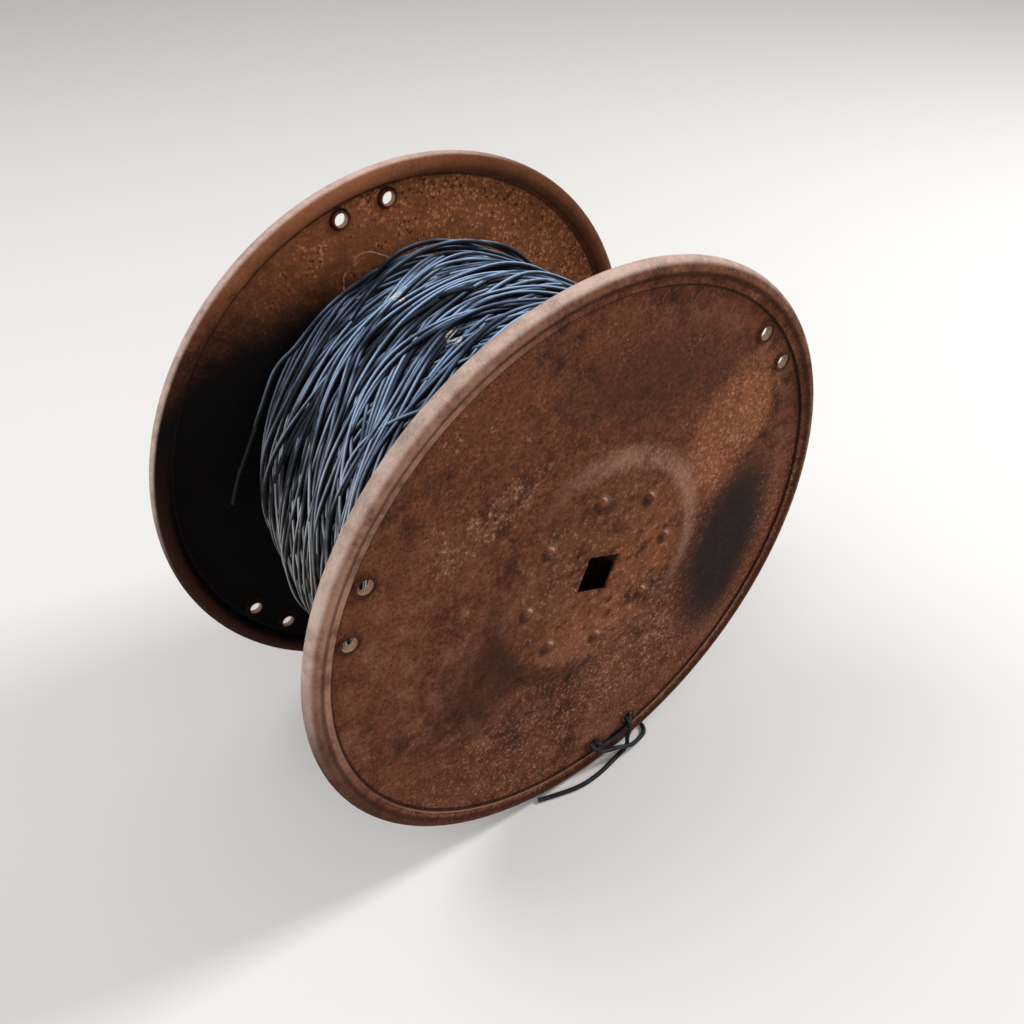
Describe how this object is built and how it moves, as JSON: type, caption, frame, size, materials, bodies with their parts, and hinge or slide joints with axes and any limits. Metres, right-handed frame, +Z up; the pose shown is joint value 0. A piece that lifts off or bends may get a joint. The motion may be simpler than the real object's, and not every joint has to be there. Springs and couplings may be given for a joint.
{
  "type": "steel cable drum with insulated wire",
  "caption": "Rusty pressed-steel cable drum with bossed, bead-rimmed flanges, square axle hole, paired tie holes and black insulated wire wound on it.",
  "frame": {"origin": "centre of the bottom of the drum's box, on the floor midway between the two rims", "axes": "+Z up, +Y along the drum's axis from the front flange to the back flange, +X to the right seen from the front"},
  "size_m": [0.457, 0.2495, 0.457],
  "materials": {
    "rusty_steel": "rusted, matte",
    "barrel_steel": "rusted, matte",
    "wire_insulation": "black, dusty satin"
  },
  "bodies": {
    "root": {"near_flange": "rusty_steel", "far_flange": "rusty_steel", "barrel": "barrel_steel", "hub_rivets": "rusty_steel", "wire_winding": "wire_insulation", "wire_tail": "wire_insulation", "wire_lashing": "wire_insulation", "wire_loose_end": "wire_insulation"}
  },
  "joints": []
}
